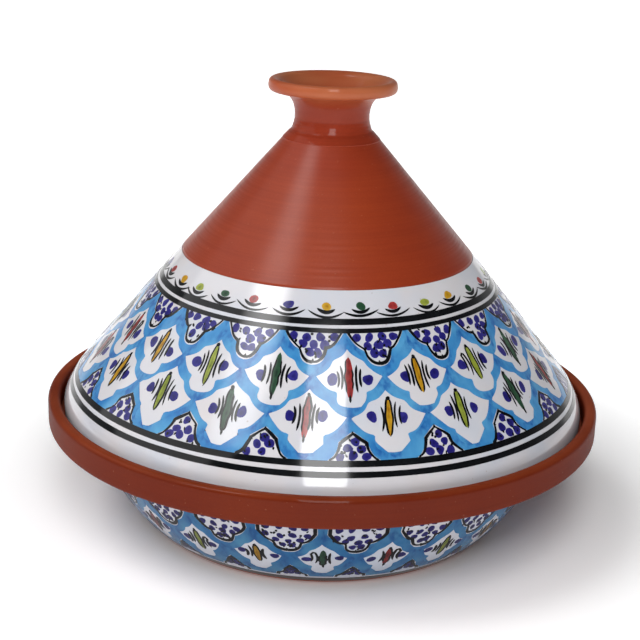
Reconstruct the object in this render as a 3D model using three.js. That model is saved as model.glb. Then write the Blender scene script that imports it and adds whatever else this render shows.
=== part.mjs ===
// A tagine pot: a footed dish whose upstanding rim forms a gallery, and a conical lid that
// stands in that gallery and carries a funnel-shaped knob. Painted and clear glaze coats lie
// on the clay as thin pieces of their own.
// Every piece is turned about +Z. The origin is the middle of the foot's underside.
import * as THREE from "three";

// ---- Driving dimensions, in millimetres: r is a radius and z a height ----

const SIDES = 48; // flats round every turned piece

// Dish
const FOOT_R = 91;
const FOOT_RING_WIDTH = 12;
const FOOT_RECESS = 2.5;
const FOOT_EDGE_Z = 1.4;
const WALL_FOOT = { r: 94.5, z: 2.6 };
const WALL_BULGE = { r: 114, z: 18 };
const WALL_TOP = { r: 127, z: 53 };
const WALL = 8;
const FLOOR_Z = 8.5;
const FLOOR_R = 62;

// Rim and gallery
const RIM_R = 150;
const RIM_WIDTH = 6.6;
const RIM_TOP_Z = 73;
const RIM_UNDER_Z = 57;
const RIM_LIP_RADIUS = 2.6;
const RIM_HEEL_RADIUS = 3.6;
const RIM_UNDER_DROP = 2;
const GALLERY_Z = 60;
const GALLERY_LIP_RADIUS = 2;
const RIM_COAT_FOOT_Z = 63;

// Lid
const LID_R = 141.5;
const LID_WALL = 6.5;
const LID_COAT_FOOT_Z = 63.5;
const LID_BEND_FOOT_Z = 69;
const LID_BEND_TOP = { r: 131, z: 88.3 };
const LID_BAND_TOP = { r: 78.2, z: 151.3 };
const LID_SHOULDER = { r: 25.6, z: 212.1 };
const LID_CROWN_Z = 204;
const LID_CROWN_R = 36;

// Knob
const KNOB_FOOT_BEVEL = 1;
const KNOB_NECK = { r: 19.6, z: 223.6 };
const KNOB_FLANGE_UNDER = { r: 31.2, z: 236.4 };
const KNOB_FLANGE = { r: 33.8, z: 239.4 };
const KNOB_CREST = { r: 31.4, z: 243.2 };
const KNOB_CUP_LIP = { r: 27, z: 240.8 };
const KNOB_CUP_WAIST = { r: 13, z: 229 };
const KNOB_CUP_Z = 224;

// Glaze coats
const COAT = 0.6;
const GAP = 0.3; // clearance between pieces that touch
const COAT_BED = COAT + GAP; // how far the clay is set back under a coat

// ---- Outline helpers: an outline is a list of points, x its radius and y its height ----

const at = (r, z) => new THREE.Vector2(r, z);
const place = ({ r, z }) => at(r, z);

// Points round an arc, from one angle to another, in degrees.
function arc(centreR, centreZ, radius, fromDeg, toDeg, steps) {
  const angles = Array.from({ length: steps + 1 }, (_, i) => fromDeg + ((toDeg - fromDeg) * i) / steps);
  return angles
    .map((deg) => THREE.MathUtils.degToRad(deg))
    .map((a) => at(centreR + radius * Math.cos(a), centreZ + radius * Math.sin(a)));
}

// Points along a curve that sets out towards the middle point and arrives from it.
function bend(from, towards, to, steps) {
  return new THREE.QuadraticBezierCurve(from, towards, to).getPoints(steps);
}

// The point at radius r on the straight line through a and b.
function onLine(a, b, r) {
  return at(r, a.y + ((b.y - a.y) * (r - a.x)) / (b.x - a.x));
}

// The point a given distance from a on the way to b.
function towards(a, b, distance) {
  return a.clone().lerp(b, distance / a.distanceTo(b));
}

// The outline moved to its left, into the clay, each corner along its own bisector. A point
// on the axis stays on it.
function setBack(outline, distance) {
  const left = (a, b) => at(a.y - b.y, b.x - a.x).normalize();
  return outline.map((p, i) => {
    const before = left(outline[Math.max(i, 1) - 1], outline[Math.max(i, 1)]);
    const last = Math.min(i, outline.length - 2);
    const after = left(outline[last], outline[last + 1]);
    const bisector = before.clone().add(after).normalize();
    const moved = p.clone().addScaledVector(bisector, distance / bisector.dot(before));
    return p.x === 0 ? at(0, moved.y) : moved;
  });
}

// ---- Turned pieces ----

function turned(name, outline, material) {
  const mesh = new THREE.Mesh(new THREE.LatheGeometry(outline, SIDES), material);
  mesh.name = name;
  return mesh;
}

// A thin coat with the given face, which is walked with the clay on its left.
function coat(name, face, material) {
  const back = setBack(face, COAT).reverse();
  const endsOnAxis = face.at(-1).x === 0;
  const outline = endsOnAxis ? [...back, ...face] : [...face, ...back];
  if (outline[0].x > 0) outline.push(outline[0]);
  return turned(name, outline, material);
}

// ---- Glazed faces, each walked with the clay on its left ----

const wallTop = place(WALL_TOP);
const wallFoot = place(WALL_FOOT);
const wallFace = bend(wallFoot, place(WALL_BULGE), wallTop, 6);

const rimInnerR = RIM_R - RIM_WIDTH;
const rimLipZ = RIM_TOP_Z - RIM_LIP_RADIUS;
const rimFace = [
  ...arc(RIM_R - RIM_HEEL_RADIUS, RIM_UNDER_Z + RIM_HEEL_RADIUS, RIM_HEEL_RADIUS, -70, 0, 2),
  ...arc(RIM_R - RIM_LIP_RADIUS, rimLipZ, RIM_LIP_RADIUS, 0, 90, 3),
  ...arc(rimInnerR + RIM_LIP_RADIUS, rimLipZ, RIM_LIP_RADIUS, 90, 180, 3),
  at(rimInnerR, RIM_COAT_FOOT_Z),
];

const bowlTopR = WALL_TOP.r - WALL;
const bowlFace = [
  ...bend(
    at(bowlTopR, GALLERY_Z - GALLERY_LIP_RADIUS - COAT_BED),
    at(WALL_BULGE.r - WALL / 2, FLOOR_Z + WALL / 2),
    at(FLOOR_R, FLOOR_Z),
    7,
  ),
  at(0, FLOOR_Z),
];

const bandTop = place(LID_BAND_TOP);
const bendTop = place(LID_BEND_TOP);
const shoulder = place(LID_SHOULDER);
const lidBend = bend(at(LID_R, LID_BEND_FOOT_Z), onLine(bandTop, bendTop, LID_R), bendTop, 4);
const lidBandFace = [at(LID_R, LID_COAT_FOOT_Z), ...lidBend, bandTop];

const lidFootZ = GALLERY_Z + GAP;
const lidWallInside = setBack([at(LID_R, lidFootZ), ...lidBend, bandTop, shoulder], LID_WALL).reverse();
const crownEdge = onLine(lidWallInside[0], lidWallInside[1], LID_CROWN_R);
const crownCorner = onLine(lidWallInside[0], lidWallInside[1], LID_SHOULDER.r);
const lidInside = [
  ...bend(at(0, LID_CROWN_Z), at(crownCorner.x, LID_CROWN_Z), crownEdge, 3),
  ...lidWallInside.slice(1),
];
const lidInsideFoot = at(lidInside.at(-1).x, LID_COAT_FOOT_Z);
const lidInsideFace = [...lidInside.slice(0, -1), lidInsideFoot];

// ---- Clay ----

const dishOutline = [
  at(0, FOOT_RECESS),
  at(FOOT_R - FOOT_RING_WIDTH - FOOT_RECESS, FOOT_RECESS),
  at(FOOT_R - FOOT_RING_WIDTH, 0),
  at(FOOT_R, 0),
  at(FOOT_R + FOOT_EDGE_Z / 2, FOOT_EDGE_Z / 2),
  ...setBack(wallFace, COAT_BED),
  towards(wallTop, at(WALL_TOP.r + COAT_BED, RIM_UNDER_Z - RIM_UNDER_DROP), COAT_BED * 2),
  at(WALL_TOP.r + RIM_UNDER_DROP * 2, RIM_UNDER_Z - RIM_UNDER_DROP),
  ...setBack(rimFace, COAT_BED),
  at(rimInnerR, RIM_COAT_FOOT_Z - COAT_BED),
  at(rimInnerR, GALLERY_Z + GAP),
  at(rimInnerR - GAP, GALLERY_Z),
  ...arc(bowlTopR + GALLERY_LIP_RADIUS, GALLERY_Z - GALLERY_LIP_RADIUS, GALLERY_LIP_RADIUS, 90, 180, 2),
  ...setBack(bowlFace, COAT_BED),
];

const lidOutline = [
  ...setBack(lidInsideFace, COAT_BED),
  at(lidInsideFoot.x, LID_COAT_FOOT_Z - COAT_BED),
  at(lidInsideFoot.x, lidFootZ),
  at(LID_R, lidFootZ),
  at(LID_R, LID_COAT_FOOT_Z - COAT_BED),
  ...setBack(lidBandFace, COAT_BED),
  towards(bandTop, shoulder, COAT_BED),
  shoulder,
  at(0, LID_SHOULDER.z),
];

const knobFootZ = LID_SHOULDER.z + GAP;
const knobFoot = at(LID_SHOULDER.r - KNOB_FOOT_BEVEL / 2, knobFootZ + KNOB_FOOT_BEVEL);
const neck = place(KNOB_NECK);
const flangeUnder = place(KNOB_FLANGE_UNDER);
const flange = place(KNOB_FLANGE);
const crest = place(KNOB_CREST);
const cupLip = place(KNOB_CUP_LIP);
const cupWaist = place(KNOB_CUP_WAIST);
const knobOutline = [
  at(0, knobFootZ),
  at(LID_SHOULDER.r - KNOB_FOOT_BEVEL, knobFootZ),
  ...bend(knobFoot, at(KNOB_NECK.r, (knobFootZ + KNOB_NECK.z) / 2), neck, 3),
  ...bend(neck, at(KNOB_NECK.r, KNOB_FLANGE_UNDER.z), flangeUnder, 4).slice(1),
  ...bend(flangeUnder, at(KNOB_FLANGE.r, KNOB_FLANGE_UNDER.z), flange, 3).slice(1),
  ...bend(flange, at(KNOB_FLANGE.r, KNOB_CREST.z), crest, 3).slice(1),
  cupLip,
  cupWaist,
  ...bend(cupWaist, at(KNOB_CUP_WAIST.r / 2, KNOB_CUP_Z), at(0, KNOB_CUP_Z), 3).slice(1),
];

// ---- The pot ----

const ceramic = (color, roughness) => new THREE.MeshStandardMaterial({ color, roughness, metalness: 0 });

const dish = new THREE.Group();
dish.add(
  turned("dish_body", dishOutline, ceramic("#9c4a2e", 0.75)),
  coat("dish_painted_glaze", wallFace, ceramic("#5f9fd0", 0.12)),
  coat("rim_clear_glaze", rimFace, ceramic("#a3472a", 0.2)),
  coat("dish_inner_glaze", bowlFace, ceramic("#9a4a2c", 0.2)),
);

const lid = new THREE.Group();
lid.add(
  turned("lid_cone", lidOutline, ceramic("#a84f34", 0.6)),
  coat("lid_painted_glaze", lidBandFace, ceramic("#8fb8dc", 0.1)),
  coat("lid_inner_glaze", lidInsideFace, ceramic("#9a4a2c", 0.25)),
  turned("lid_knob", knobOutline, ceramic("#b5623c", 0.5)),
);

const tagine = new THREE.Group();
tagine.add(dish, lid);
tagine.rotation.x = Math.PI / 2; // the lathe turns about +Y, and the pot stands along +Z

export default tagine;
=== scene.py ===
"""A hand-thrown tagine pot in painted earthenware: a footed dish and a lift-off conical lid.

Every clay and glaze piece is an outline spun about the pot's axis. The painting is modelled
stroke by stroke: each pigment's strokes are laid out flat, one motif at a time, wrapped on
the glazed face and given their thickness. Sizes are in millimetres and angles in degrees
until a point is placed in the scene, which is in metres.
"""

import logging
import math
import random
from collections.abc import Callable, Sequence
from dataclasses import dataclass, field
from enum import Enum

import bmesh
import bpy
from mathutils import Matrix, Vector


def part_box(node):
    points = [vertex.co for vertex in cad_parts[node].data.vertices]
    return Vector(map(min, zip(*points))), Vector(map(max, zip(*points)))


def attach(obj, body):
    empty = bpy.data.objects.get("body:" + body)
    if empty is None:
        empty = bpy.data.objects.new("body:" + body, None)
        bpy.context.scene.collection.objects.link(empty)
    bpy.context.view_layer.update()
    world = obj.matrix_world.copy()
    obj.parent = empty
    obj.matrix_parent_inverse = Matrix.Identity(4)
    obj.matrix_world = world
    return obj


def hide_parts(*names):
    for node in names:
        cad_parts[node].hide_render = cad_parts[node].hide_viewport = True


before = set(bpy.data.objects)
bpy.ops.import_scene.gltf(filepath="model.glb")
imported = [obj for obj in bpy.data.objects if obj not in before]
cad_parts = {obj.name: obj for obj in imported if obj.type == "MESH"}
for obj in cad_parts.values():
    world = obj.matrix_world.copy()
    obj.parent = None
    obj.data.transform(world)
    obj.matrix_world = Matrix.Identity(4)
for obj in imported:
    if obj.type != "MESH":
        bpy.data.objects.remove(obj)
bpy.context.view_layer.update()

log = logging.getLogger("tagine")

MM = 0.001
SIDES = 240  # steps round every turned piece
WEDGES = 12  # the first twelfth is turned, then repeated
SHARP_EDGE = math.radians(38.0)
WELD = 2e-6  # metres within which two vertices become one
RINGS_FADE = 6.0  # millimetres over which throwing rings die out at an outline's ends

Point = tuple[float, float]
Colour = tuple[int, int, int]
Rings = tuple[float, float, int]  # depth, pitch and seed of a thrower's finger rings


# ---- Outlines: lists of (radius, height) points ----


def arc(centre: Point, radius: float, start: float, end: float, steps: int) -> list[Point]:
    """Points round an arc.

    Args:
        centre: the arc's middle.
        radius: its radius.
        start: the angle of its first point, in degrees.
        end: the angle of its last point, in degrees.
        steps: how many chords it is cut into.

    Returns:
        The points, both ends included.
    """
    angles = (math.radians(start + (end - start) * i / steps) for i in range(steps + 1))
    return [(centre[0] + radius * math.cos(a), centre[1] + radius * math.sin(a)) for a in angles]


def bend(start: Point, towards: Point, end: Point, steps: int) -> list[Point]:
    """Points along a curve that sets out towards a point and arrives from it.

    Args:
        start: where the curve begins.
        towards: the point that pulls it.
        end: where it ends.
        steps: how many chords it is cut into.

    Returns:
        The points, both ends included.
    """

    def along(t: float) -> Point:
        """The point at a share t of the curve."""
        corners = zip(start, towards, end)
        return tuple((1 - t) ** 2 * a + 2 * t * (1 - t) * b + t * t * c for a, b, c in corners)

    return [along(i / steps) for i in range(steps + 1)]


def between(start: Point, end: Point, steps: int) -> list[Point]:
    """Points in equal steps along a straight stretch, both ends included."""
    return [tuple(a + (b - a) * i / steps for a, b in zip(start, end)) for i in range(steps + 1)]


def chain(*stretches: Sequence[Point]) -> list[Point]:
    """Joins stretches of an outline.

    Args:
        *stretches: lists of points, each one starting where the last one ended.

    Returns:
        One outline, with the shared points once.
    """
    joined = list(stretches[0])
    for stretch in stretches[1:]:
        joined.extend(stretch[1:])
    return joined


def on_line(a: Point, b: Point, radius: float) -> Point:
    """The point at a radius on the straight line through two points."""
    return radius, a[1] + (b[1] - a[1]) * (radius - a[0]) / (b[0] - a[0])


def set_back(outline: Sequence[Point], distance: float) -> list[Point]:
    """Moves an outline to its left, each corner along its own bisector.

    Args:
        outline: the points, walked with the clay on the left.
        distance: how far into the clay they move.

    Returns:
        As many points. One on the axis stays on it.
    """
    points = [Vector(p) for p in outline]
    lefts = [Vector((a.y - b.y, b.x - a.x)).normalized() for a, b in zip(points, points[1:])]
    moved = []
    for i, point in enumerate(points):
        before = lefts[max(i - 1, 0)]
        after = lefts[min(i, len(lefts) - 1)]
        bisector = (before + after).normalized()
        new = point + bisector * (distance / bisector.dot(before))
        moved.append((0.0 if point.x == 0 else new.x, new.y))
    return moved


def ripple(outline: Sequence[Point], depth: float, pitch: float, seed: int) -> list[Point]:
    """Gives an outline the shallow rings that a thrower's fingers leave.

    Args:
        outline: the points, close together.
        depth: the most that a point moves.
        pitch: the rough distance from ring to ring.
        seed: picks the rings' uneven spacing.

    Returns:
        The outline with the same ends and rings between them.
    """
    rng = random.Random(seed)
    waves = [(pitch * rng.uniform(0.6, 1.7), rng.uniform(0, math.tau)) for _ in range(4)]
    points = [Vector(p) for p in outline]
    total = sum((b - a).length for a, b in zip(points, points[1:]))
    fade = min(RINGS_FADE, total / 4)
    made, walked = [outline[0]], 0.0
    for before, point, after in zip(points, points[1:], points[2:]):
        walked += (point - before).length
        left = Vector((before.y - after.y, after.x - before.x)).normalized()
        size = sum(math.sin(math.tau * walked / w + p) for w, p in waves) / len(waves)
        ends = min(1.0, walked / fade, (total - walked) / fade)
        moved = point + left * (size * depth * ends)
        made.append((max(moved.x, 0.0), moved.y))
    return [*made, outline[-1]]


@dataclass
class Reach:
    """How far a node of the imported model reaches, in millimetres."""

    node: str
    radius: float = field(init=False)
    bottom: float = field(init=False)
    top: float = field(init=False)

    def __post_init__(self) -> None:
        """Reads the node's box."""
        low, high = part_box(self.node)
        self.radius = high.x / MM
        self.bottom = low.z / MM
        self.top = high.z / MM


# ---- Meshes ----


def finish_mesh(name: str, bm: bmesh.types.BMesh) -> bpy.types.Object:
    """Makes a smooth-shaded object of a mesh.

    Args:
        name: the piece's name.
        bm: its mesh, which is used up.

    Returns:
        The object, linked to the scene.
    """
    mesh = bpy.data.meshes.new(name)
    bm.to_mesh(mesh)
    bm.free()
    mesh.shade_smooth()
    mesh.set_sharp_from_angle(angle=SHARP_EDGE)
    piece = bpy.data.objects.new(name, mesh)
    bpy.context.scene.collection.objects.link(piece)
    return piece


def turn(name: str, outline: Sequence[Point]) -> bpy.types.Object:
    """Spins an outline once about the pot's axis.

    Args:
        name: the piece's name.
        outline: its points. It starts and ends on the axis, or is closed by this function.

    Returns:
        The piece, one closed body.
    """
    bm = bmesh.new()
    rim = [bm.verts.new((r * MM, 0.0, z * MM)) for r, z in outline]
    pairs = list(zip(rim, rim[1:]))
    if outline[0][0] > 0 or outline[-1][0] > 0:
        pairs.append((rim[-1], rim[0]))
    edges = [bm.edges.new(pair) for pair in pairs]
    about = {"cent": (0, 0, 0), "axis": (0, 0, 1)}
    bmesh.ops.spin(bm, geom=rim + edges, angle=math.tau / WEDGES, steps=SIDES // WEDGES, **about)
    wedge = [*bm.verts, *bm.edges, *bm.faces]
    rest = WEDGES - 1
    bmesh.ops.spin(bm, geom=wedge, angle=math.tau * rest / WEDGES, steps=rest, use_duplicate=True, **about)
    bmesh.ops.remove_doubles(bm, verts=bm.verts, dist=WELD)
    bmesh.ops.recalc_face_normals(bm, faces=bm.faces)
    return finish_mesh(name, bm)


def coat(name: str, face: Sequence[Point], thickness: float) -> bpy.types.Object:
    """Turns a coat of glaze whose outer face follows an outline.

    Args:
        name: the piece's name.
        face: the outer face, walked with the clay on its left.
        thickness: how far the coat reaches into the clay.

    Returns:
        The coat, one closed shell.
    """
    back = set_back(face, thickness)[::-1]
    if face[-1][0] == 0:
        return turn(name, [*back, *face])
    return turn(name, [*face, *back])


# ---- Materials ----

WAVES = (70, 70, 70)  # cells to the metre of the slow waves in any glossy glaze
WAVE_DEPTH = 0.05  # their depth in millimetres


def linear(colour: Colour) -> tuple[float, float, float, float]:
    """Turns a screen colour into the linear values that a shader takes.

    Args:
        colour: red, green and blue, 0 to 255.

    Returns:
        Red, green, blue and a full alpha, 0 to 1.
    """
    shares = (c / 255 for c in colour)
    red, green, blue = (s / 12.92 if s <= 0.04045 else ((s + 0.055) / 1.055) ** 2.4 for s in shares)
    return red, green, blue, 1.0


class Recipe:
    """A material's node tree, with short ways to add what the finishes use."""

    RADIUS_SHARE = 0.8  # how much of the radius counts as distance along a turned face

    def __init__(self, name: str, tree: bpy.types.NodeTree | None = None) -> None:
        """Starts a new material, or takes up a tree that is there.

        Args:
            name: the new material's name.
            tree: the world's own tree, when it is the world that is made.
        """
        if tree is None:
            self.material = bpy.data.materials.new(name)
            self.material.use_nodes = True
            tree = self.material.node_tree
            self.shader = tree.nodes["Principled BSDF"]
        self.tree = tree
        self.place = self.node("ShaderNodeTexCoord").outputs["Object"]

    def node(self, kind: str, **settings: object) -> bpy.types.Node:
        """Adds a node.

        Args:
            kind: its Blender type.
            **settings: its own properties.

        Returns:
            The node.
        """
        made = self.tree.nodes.new(kind)
        for key, value in settings.items():
            setattr(made, key, value)
        return made

    def link(self, source: bpy.types.NodeSocket, target: bpy.types.NodeSocket) -> None:
        """Joins two sockets."""
        self.tree.links.new(source, target)

    def maths(self, operation: str, *values: float | bpy.types.NodeSocket) -> bpy.types.NodeSocket:
        """Works out one sum.

        Args:
            operation: what it does.
            *values: its inputs, numbers or sockets.

        Returns:
            The result's socket.
        """
        made = self.node("ShaderNodeMath", operation=operation)
        for socket, value in zip(made.inputs, values):
            if isinstance(value, bpy.types.NodeSocket):
                self.link(value, socket)
            else:
                socket.default_value = value
        return made.outputs[0]

    def noise(
        self,
        stretch: Sequence[float],
        detail: float = 2.0,
        place: bpy.types.NodeSocket | None = None,
    ) -> bpy.types.NodeSocket:
        """Makes cloudy noise, 0 to 1.

        Args:
            stretch: cells to the metre along each axis.
            detail: how many finer layers it has.
            place: the coordinates it reads, the piece's own unless given.

        Returns:
            The noise's socket.
        """
        mapping = self.node("ShaderNodeMapping")
        mapping.inputs["Scale"].default_value = stretch
        self.link(place or self.place, mapping.inputs["Vector"])
        made = self.node("ShaderNodeTexNoise")
        made.inputs["Scale"].default_value = 1.0
        made.inputs["Detail"].default_value = detail
        self.link(mapping.outputs[0], made.inputs["Vector"])
        return made.outputs[0]

    def turning(self) -> bpy.types.NodeSocket:
        """Makes coordinates whose third part runs along any turned face, across its rings.

        Returns:
            The coordinates' socket.
        """
        parts = self.node("ShaderNodeSeparateXYZ")
        self.link(self.place, parts.inputs[0])
        flat = self.node("ShaderNodeCombineXYZ")
        self.link(parts.outputs["X"], flat.inputs["X"])
        self.link(parts.outputs["Y"], flat.inputs["Y"])
        radius = self.node("ShaderNodeVectorMath", operation="LENGTH")
        self.link(flat.outputs[0], radius.inputs[0])
        inwards = self.maths("MULTIPLY", radius.outputs["Value"], self.RADIUS_SHARE)
        along = self.maths("SUBTRACT", parts.outputs["Z"], inwards)
        made = self.node("ShaderNodeCombineXYZ")
        self.link(parts.outputs["X"], made.inputs["X"])
        self.link(parts.outputs["Y"], made.inputs["Y"])
        self.link(along, made.inputs["Z"])
        return made.outputs[0]

    def spread(
        self,
        source: bpy.types.NodeSocket,
        low: float,
        high: float,
        to: tuple[float, float] = (0.0, 1.0),
    ) -> bpy.types.NodeSocket:
        """Stretches a part of a value's range over a new range, and clamps it there.

        Args:
            source: the value.
            low: where the part starts.
            high: where it ends.
            to: the new range's two ends.

        Returns:
            The stretched value's socket.
        """
        made = self.node("ShaderNodeMapRange")
        for key, value in {"From Min": low, "From Max": high, "To Min": to[0], "To Max": to[1]}.items():
            made.inputs[key].default_value = value
        self.link(source, made.inputs["Value"])
        return made.outputs[0]

    def mix(
        self,
        share: bpy.types.NodeSocket,
        first: Colour | bpy.types.NodeSocket,
        second: Colour | bpy.types.NodeSocket,
    ) -> bpy.types.NodeSocket:
        """Mixes two colours.

        Args:
            share: how much of the second colour shows.
            first: a colour or a socket.
            second: a colour or a socket.

        Returns:
            The mixed colour's socket.
        """
        made = self.node("ShaderNodeMix", data_type="RGBA")
        self.link(share, made.inputs[0])
        for socket, value in ((made.inputs[6], first), (made.inputs[7], second)):
            if isinstance(value, bpy.types.NodeSocket):
                self.link(value, socket)
            else:
                socket.default_value = linear(value)
        return made.outputs[2]

    def bump(self, *layers: tuple[bpy.types.NodeSocket, float]) -> None:
        """Gives the shader relief, one layer on the next.

        Args:
            *layers: each layer's height and its depth in millimetres.
        """
        before = None
        for height, depth in layers:
            made = self.node("ShaderNodeBump")
            made.inputs["Distance"].default_value = depth * MM
            self.link(height, made.inputs["Height"])
            if before:
                self.link(before, made.inputs["Normal"])
            before = made.outputs[0]
        self.link(before, self.shader.inputs["Normal"])

    def gloss(
        self,
        roughness: float,
        specular: float,
        coat: float = 0.0,
        coat_roughness: float = 0.0,
    ) -> None:
        """Sets the shader's even gloss values on its own sockets.

        Args:
            roughness: the body's roughness.
            specular: the body's specular level.
            coat: the clear coat's weight.
            coat_roughness: the clear coat's roughness.
        """
        self.shader.inputs["Roughness"].default_value = roughness
        self.shader.inputs["Coat Weight"].default_value = coat
        self.shader.inputs["Coat Roughness"].default_value = coat_roughness
        self.shader.inputs["Specular IOR Level"].default_value = specular


@dataclass(frozen=True)
class Clay:
    """Thrown red earthenware, bare or under clear glaze."""

    name: str
    warm: Colour
    red: Colour
    deep: Colour
    roughness: float
    coat: float
    coat_roughness: float
    lines: float  # depth of the fine turning lines, in millimetres
    specular: float
    painted_top_light: Colour | None = None  # a paler colour over the piece's upper part: painted light on its lit top
    painted_top_light_heights: tuple[float, float] = (0.0, 0.0)  # where the painted lighter top starts and where it is full

    # Cells to the metre along each axis, the third one across the turning lines where they are turned.
    CLOUDS = (11, 11, 16)
    BROAD_LINES = (5, 5, 210)
    FINE_LINES = (16, 16, 900)
    GRAIN = (1300, 1300, 1300)
    GROG = (700, 700, 700)
    GROG_COLOUR = (214, 150, 118)

    def material(self) -> bpy.types.Material:
        """Builds the clay: cloudy colour, turning lines, grog specks, sandy grain and a painted lighter
        top.

        Returns:
            The material.
        """
        recipe = Recipe(self.name)
        recipe.gloss(self.roughness, self.specular, self.coat, self.coat_roughness)
        turning = recipe.turning()
        clouds = recipe.spread(recipe.noise(self.CLOUDS, 3), 0.34, 0.66)
        broad = recipe.noise(self.BROAD_LINES, 2, turning)
        fine = recipe.noise(self.FINE_LINES, 2, turning)
        grain = recipe.noise(self.GRAIN, 1)
        colour = recipe.mix(clouds, self.warm, self.red)
        colour = recipe.mix(recipe.spread(broad, 0.4, 0.75, (0.0, 0.16)), colour, self.deep)
        colour = recipe.mix(recipe.spread(fine, 0.45, 0.8, (0.0, 0.26)), colour, self.deep)
        specks = recipe.spread(recipe.noise(self.GROG, 0), 0.81, 0.85, (0.0, 0.12))
        colour = recipe.mix(specks, colour, self.GROG_COLOUR)
        colour = recipe.mix(recipe.spread(grain, 0.3, 0.7, (0.0, 0.22)), colour, self.deep)
        # Painted light: the piece's upper part is mixed towards a paler colour, for its lit top.
        if self.painted_top_light:
            parts = recipe.node("ShaderNodeSeparateXYZ")
            recipe.link(recipe.place, parts.inputs[0])
            low, high = self.painted_top_light_heights
            painted_top_share = recipe.spread(parts.outputs["Z"], low * MM, high * MM)
            colour = recipe.mix(painted_top_share, colour, recipe.mix(clouds, self.painted_top_light, self.warm))
        recipe.link(colour, recipe.shader.inputs["Base Color"])
        rough = recipe.spread(fine, 0.3, 0.7, (self.roughness - 0.05, self.roughness + 0.07))
        recipe.link(rough, recipe.shader.inputs["Roughness"])
        recipe.bump((broad, self.lines), (fine, self.lines * 0.6), (grain, self.lines * 0.4))
        return recipe.material


@dataclass(frozen=True)
class Glaze:
    """Glossy opaque white glaze, a little uneven, with a few pinholes."""

    name: str
    white: Colour
    cool: Colour
    warm: Colour
    roughness: float = 0.07
    specular: float = 0.68

    # Cells to the metre along each axis.
    COOL_CLOUDS = (28, 28, 28)
    WARM_CLOUDS = (43, 43, 43)
    PINHOLES = (560, 560, 560)
    PINHOLE_COLOUR = (150, 120, 105)
    SKIN = (300, 300, 300)

    def material(self) -> bpy.types.Material:
        """Builds the glaze: faint clouds of tone, pinholes and a soft waviness.

        Returns:
            The material.
        """
        recipe = Recipe(self.name)
        recipe.gloss(self.roughness, self.specular)
        cool = recipe.spread(recipe.noise(self.COOL_CLOUDS, 2), 0.45, 0.75, (0.0, 0.8))
        warm = recipe.spread(recipe.noise(self.WARM_CLOUDS, 2), 0.5, 0.8, (0.0, 0.7))
        pinholes = recipe.spread(recipe.noise(self.PINHOLES, 0), 0.84, 0.87, (0.0, 0.4))
        colour = recipe.mix(cool, self.white, self.cool)
        colour = recipe.mix(warm, colour, self.warm)
        colour = recipe.mix(pinholes, colour, self.PINHOLE_COLOUR)
        recipe.link(colour, recipe.shader.inputs["Base Color"])
        recipe.bump((recipe.noise(WAVES, 1), WAVE_DEPTH), (recipe.noise(self.SKIN, 1), 0.008))
        return recipe.material


@dataclass(frozen=True)
class Paint:
    """A brushed pigment under the gloss: deeper where it pools, streaked where it is thin."""

    name: str
    thin: Colour
    full: Colour
    deep: Colour
    streaks: float = 0.5
    roughness: float = 0.09
    specular: float = 0.46

    # Cells to the metre along each axis.
    CLOUDS = (60, 60, 60)
    STREAKS = (420, 420, 90)

    # How a pigment changes on the dish: darkened by painted shade, for the wall in the shade under the
    # rim, and given less gloss.
    PAINTED_SHADE_TONE = 0.74
    LOW_ROUGHNESS = 0.12
    LOW_SPECULAR = 0.1

    def shaded_copy(self) -> "Paint":
        """Makes a darker, less glossy copy of the pigment for the dish; the darker tone is painted shade.

        Returns:
            The copy, its colours darkened by painted shade and its gloss lowered.
        """
        tones = (self.thin, self.full, self.deep)
        darker = (tuple(int(part * self.PAINTED_SHADE_TONE) for part in tone) for tone in tones)
        return Paint(
            f"{self.name}_shaded_low_gloss", *darker, self.streaks, self.LOW_ROUGHNESS, self.LOW_SPECULAR
        )

    def material(self) -> bpy.types.Material:
        """Builds the pigment from its wash, its streaks and its clouds.

        Returns:
            The material.
        """
        recipe = Recipe(self.name)
        recipe.gloss(self.roughness, self.specular)
        wash = recipe.node("ShaderNodeAttribute", attribute_name="wash").outputs["Fac"]
        clouds = recipe.noise(self.CLOUDS, 3)
        streak = recipe.noise(self.STREAKS, 2)
        thin = recipe.maths("MULTIPLY", recipe.spread(clouds, 0.35, 0.7), self.streaks)
        colour = recipe.mix(thin, self.full, self.thin)
        pooled = recipe.maths("MULTIPLY", wash, recipe.spread(streak, 0.35, 0.65, (0.25, 1.0)))
        colour = recipe.mix(pooled, colour, self.deep)
        recipe.link(colour, recipe.shader.inputs["Base Color"])
        recipe.bump((recipe.noise(WAVES, 1), WAVE_DEPTH), (clouds, 0.012))
        return recipe.material


class Pigment(Enum):
    """The painter's colours, each with its finish."""

    BLUE = Paint("blue_wash", (96, 170, 212), (54, 132, 194), (34, 88, 162), 0.85)
    COBALT = Paint("cobalt", (70, 66, 160), (38, 34, 118), (22, 18, 74))
    BLACK = Paint("manganese_black", (30, 32, 36), (14, 16, 18), (6, 7, 9), 0.6)
    YELLOW = Paint("antimony_yellow", (218, 180, 66), (196, 148, 30), (140, 90, 14))
    LIME = Paint("lime_green", (188, 196, 106), (150, 162, 56), (92, 104, 34))
    GREEN = Paint("copper_green", (70, 112, 84), (38, 74, 50), (18, 40, 30))
    RED = Paint("iron_red", (196, 78, 74), (158, 44, 44), (84, 22, 24))


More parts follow.
